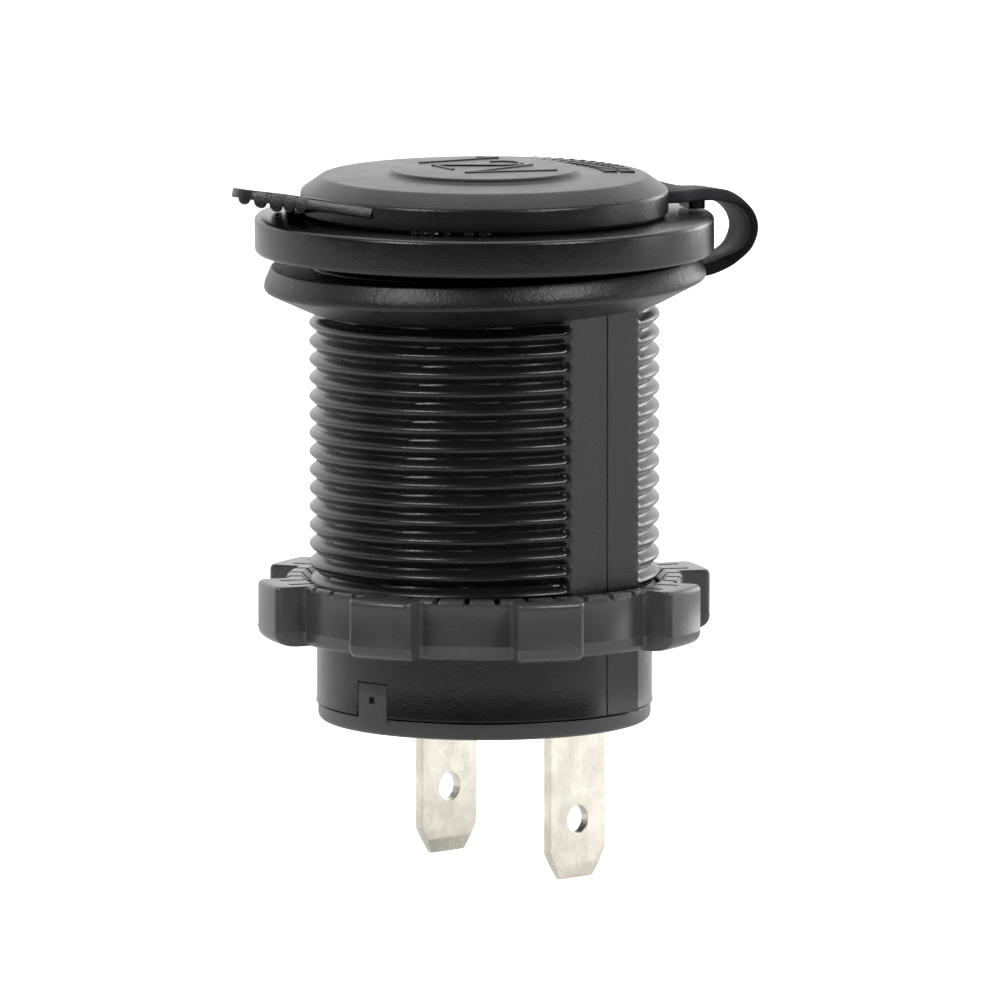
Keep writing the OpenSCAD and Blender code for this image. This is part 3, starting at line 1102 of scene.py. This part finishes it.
    def bar(self, start, end, top, wide=0.36, base=6.75):
        """A raised stroke between two points of the cap's top."""
        a, b = Vector(start), Vector(end)
        along = (b - a).normalized()
        across = Vector((-along.y, along.x)) * wide / 2
        ends = (a - along * wide / 2, b + along * wide / 2)
        rise = top + self.mark
        sections = []
        for end_point in ends:
            section = []
            for sideways, height in ((-1, base), (1, base), (0.8, rise), (-0.8, rise)):
                at = end_point + across * sideways
                section.append(metres(at.x, at.y, height))
            sections.append(section)
        return lofted(sections)

    def figures(self):
        """A plain 12 V mark of straight strokes, read with the strap side up."""
        high = 6.95
        strokes = [((0.0, 0.0), (0.0, high)), ((0.0, high), (-0.9, high - 1.1))]
        two = [(2.2, 5.4), (2.35, 6.2), (3.0, 6.8), (3.8, 6.95), (4.6, 6.7)]
        two += [(5.05, 6.0), (5.05, 5.2), (4.5, 4.2), (2.2, 0.0), (5.2, 0.0)]
        strokes += list(zip(two, two[1:]))
        strokes += [((5.7, high), (7.8, 0.0)), ((7.8, 0.0), (9.8, high))]
        turn = math.radians(14.0)
        up = Vector((math.cos(turn), math.sin(turn)))
        along = Vector((up.y, -up.x))
        middle = Vector((5.63, 2.75))
        parts = []
        for i, (start, end) in enumerate(strokes):
            ends = []
            for x, y in (start, end):
                ends.append(along * (x - middle.x) + up * (y - middle.y))
            # Strokes that meet differ a little in height, so that no two faces coincide
            parts.append(self.bar(*ends, top=DISC_TOP + 0.01 * (i % 2)))
        return joined(*parts)

    def ticks(self):
        """Two arcs of plain short bars beside the raised disc."""
        parts = []
        for i in range(13):
            angle = math.radians(-8.0 + 5.25 * i)
            out = Vector((math.cos(angle), math.sin(angle)))
            parts.append(self.bar(out * 9.9, out * 10.6, 6.36, 0.45, 6.25))
            parts.append(self.bar(out * 11.3, out * 12.0, 6.32, 0.5, 6.2))
        return joined(*parts)


class SOCKET_OT_end_cap(bpy.types.Operator):
    """End cap that snaps into the barrel with two flush latches"""

    bl_idname = "socket.end_cap"
    bl_label = "End cap"

    def execute(self, context):
        plate = turned(
            [
                (0.0, SOCKET_LOW, 0.0),
                (13.5, SOCKET_LOW, 1.15),
                (13.5, BARREL_END, 0.12),
                (11.2, BARREL_END, 0.0),
                (11.2, BARREL_END + 3.3, 0.15),
                (10.1, BARREL_END + 3.3, 0.15),
                (10.1, BARREL_END, 0.0),
                (0.0, BARREL_END, 0.0),
            ],
            steps=8,
        )
        latches = [self.latch(angle) for angle in LATCH_ANGLES]
        points, faces = joined(plate, *latches)
        piece = new_piece("end_plate", points, faces, [finish_of("end_black")], 40.0)
        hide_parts("end_cap")
        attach(piece, "socket")
        return {"FINISHED"}

    def latch(self, angle):
        """A latch flush with the barrel, with a small square release pit."""
        outer, half, pit = 13.57, 1.53, 0.22
        top = BARREL_END + LATCH_HIGH - 0.08
        middle = BARREL_END + LATCH_HIGH / 2
        across = [-1, -0.6, -0.2, -0.15, 0, 0.15, 0.2, 0.6, 1]
        heights = [(BARREL_END - 0.3, 0.0)]
        for off in (-pit - 0.05, -pit, 0.0, pit, pit + 0.05):
            heights.append((middle + off, 0.0))
        heights += [(top - 0.09, 0.0), (top - 0.03, 0.03), (top, 0.09)]
        sections = []
        for z, inset in heights:
            section = []
            for share in across:
                y = share * (half - inset)
                x = math.sqrt(outer**2 - y * y) - inset
                if abs(share) < 0.16 and abs(z - middle) < pit + 0.01:
                    x -= 0.35
                section.append(metres(x, y, z))
            section += [metres(11.0, y, z) for y in (half, -half)]
            sections.append(section)
        return moved(lofted(sections), Matrix.Rotation(math.radians(angle), 4, "Z"))


class SOCKET_OT_blades(bpy.types.Operator):
    """The two blade terminals, with pierced holes and coined tips"""

    bl_idname = "socket.blades"
    bl_label = "Blade terminals"

    def execute(self, context):
        # Place off the axis, top, length under the end cap, the hole's share of it
        self.blade("positive", "positive_blade", -4.4, -31.8, 11.3, 0.53)
        self.blade("ground", "ground_blade", 10.3, -30.8, 11.9, 0.6)
        return {"FINISHED"}

    def blade(self, name, node, u, top, length, hole_share):
        half, cut, hole_r = BLADE_WIDTH / 2, 0.07, 1.15
        tip, hole = SOCKET_LOW - length, SOCKET_LOW - hole_share * length
        outline = [
            (-half, top),
            (-half, tip + 2.2),
            (-half + 1.3, tip),
            (half - 1.3, tip),
            (half, tip + 2.2),
            (half, top),
        ]
        ring = []
        for k in range(40):
            a = 2 * math.pi * k / 40
            ring.append((hole_r * math.cos(a), hole + hole_r * math.sin(a)))
        curve = bpy.data.curves.new(name + "_outline", "CURVE")
        curve.dimensions = "2D"
        curve.fill_mode = "BOTH"
        curve.extrude = (BLADE_THICK / 2 - cut) * MM
        curve.bevel_depth = cut * MM
        curve.bevel_resolution = 2
        curve.offset = -cut * MM
        for loop in (outline, ring):
            spline = curve.splines.new("POLY")
            spline.points.add(len(loop) - 1)
            for point, (x, y) in zip(spline.points, loop):
                point.co = (x * MM, y * MM, 0.0, 1.0)
            spline.use_cyclic_u = True
        holder = bpy.data.objects.new(name + "_outline", curve)
        bpy.context.scene.collection.objects.link(holder)
        bpy.context.view_layer.update()
        mesh = bpy.data.meshes.new_from_object(
            holder.evaluated_get(bpy.context.evaluated_depsgraph_get())
        )
        bpy.data.objects.remove(holder)
        bpy.data.curves.remove(curve)
        self.coin(mesh, tip)
        stand = (
            Matrix.Rotation(math.radians(LAND_ANGLE), 4, "Z")
            @ Matrix.Translation((u * MM, 0.0, 0.0))
            @ Matrix(((0, 0, 1, 0), (1, 0, 0, 0), (0, 1, 0, 0), (0, 0, 0, 1)))
        )
        mesh.transform(stand)
        self.add_foot(mesh, u, top)
        mesh.name = name
        mesh.shade_smooth()
        mesh.set_sharp_from_angle(angle=math.radians(7.0))
        mesh.materials.clear()
        mesh.materials.append(finish_of("tinned_blade"))
        piece = bpy.data.objects.new(name, mesh)
        bpy.context.scene.collection.objects.link(piece)
        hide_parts(node)
        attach(piece, "socket")

    def coin(self, mesh, tip):
        """Thins the last stretch of the blade towards its tip."""
        stretch = 1.15
        crease = (tip + stretch) * MM
        work = bmesh.new()
        work.from_mesh(mesh)
        bmesh.ops.remove_doubles(work, verts=work.verts, dist=1e-7)
        parts = work.verts[:] + work.edges[:] + work.faces[:]
        bmesh.ops.bisect_plane(
            work, geom=parts, plane_co=(0, crease, 0), plane_no=(0, 1, 0), dist=1e-7
        )
        for vert in work.verts:
            below = (crease - vert.co.y) / (stretch * MM)
            if below > 0:
                vert.co.z *= 1 - 0.5 * min(1.0, below)
        work.to_mesh(mesh)
        work.free()

    def add_foot(self, mesh, u, top):
        """The flat foot that the rivet clamps, hidden in the end cap."""
        half = BLADE_THICK / 2
        inner, outer = (u - half, 3.4) if u < 0 else (5.8, u + half)
        work = bmesh.new()
        work.from_mesh(mesh)
        turn = Matrix.Rotation(math.radians(LAND_ANGLE), 4, "Z")
        middle = metres((inner + outer) / 2, 0.0, top - half)
        made = bmesh.ops.create_cube(work, size=1.0)
        size = (outer - inner, BLADE_WIDTH, BLADE_THICK)
        shape = Matrix.Diagonal([side * MM for side in size] + [1.0])
        bmesh.ops.transform(
            work, matrix=turn @ Matrix.Translation(middle) @ shape, verts=made["verts"]
        )
        work.to_mesh(mesh)
        work.free()


class SOCKET_OT_inner_parts(bpy.types.Operator):
    """Finishes of the well, insulators and contacts"""

    bl_idname = "socket.inner_parts"
    bl_label = "Inner parts"

    def execute(self, context):
        finishes = {
            "contact_well": "drawn_nickel",
            "inner_insulator": "pressed_fibre",
            "outer_insulator": "pressed_fibre",
            "centre_contact": "rivet_brass",
            "ground_rivet": "drawn_nickel",
        }
        for node, finish in finishes.items():
            piece = frame_node(node)
            material = finish_of(finish)
            if not piece.material_slots:
                piece.data.materials.append(material)
            for holder in piece.material_slots:
                holder.material = material
        return {"FINISHED"}


def frame_node(name):
    """The frame's object for a CAD node."""
    for piece in bpy.context.scene.objects:
        if piece.get("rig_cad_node") == name:
            return piece
    raise ValueError("the frame has no node called " + name)


class SOCKET_PT_sidebar(bpy.types.Panel):
    """Sizes, colours and pieces of the socket"""

    bl_idname = "SOCKET_PT_sidebar"
    bl_label = "Panel socket"
    bl_space_type = "VIEW_3D"
    bl_region_type = "UI"
    bl_category = "Socket"

    def draw(self, context):
        scene = context.scene
        for group in GROUPS:
            box = self.layout.box()
            box.label(text=group)
            settings = getattr(scene, GROUPS[group][0])
            for name in GROUPS[group][1].__annotations__:
                box.prop(settings, name)
        for operator in OPERATORS:
            self.layout.operator(operator.bl_idname)


GROUPS = {
    "Barrel": ("socket_barrel", BarrelSizes),
    "Nut": ("socket_nut", NutSizes),
    "Cap": ("socket_cap", CapSizes),
    "Colours": ("socket_colours", SocketColours),
    "Stage": ("socket_stage", StageSettings),
}
OPERATORS = (
    SOCKET_OT_stage,
    SOCKET_OT_barrel,
    SOCKET_OT_ring_nut,
    SOCKET_OT_sealing_ring,
    SOCKET_OT_strap,
    SOCKET_OT_rubber_cap,
    SOCKET_OT_end_cap,
    SOCKET_OT_blades,
    SOCKET_OT_inner_parts,
)


def register():
    for _, group in GROUPS.values():
        bpy.utils.register_class(group)
    for attribute, group in GROUPS.values():
        setattr(bpy.types.Scene, attribute, bpy.props.PointerProperty(type=group))
    for made in OPERATORS + (SOCKET_PT_sidebar,):
        bpy.utils.register_class(made)


def unregister():
    for made in (SOCKET_PT_sidebar,) + OPERATORS[::-1]:
        bpy.utils.unregister_class(made)
    for attribute, group in GROUPS.values():
        delattr(bpy.types.Scene, attribute)
        bpy.utils.unregister_class(group)


def main():
    register()
    bpy.ops.socket.stage()
    bpy.ops.socket.barrel()
    bpy.ops.socket.ring_nut()
    bpy.ops.socket.sealing_ring()
    bpy.ops.socket.strap()
    bpy.ops.socket.rubber_cap()
    bpy.ops.socket.end_cap()
    bpy.ops.socket.blades()
    bpy.ops.socket.inner_parts()


if __name__ == "__main__":
    main()
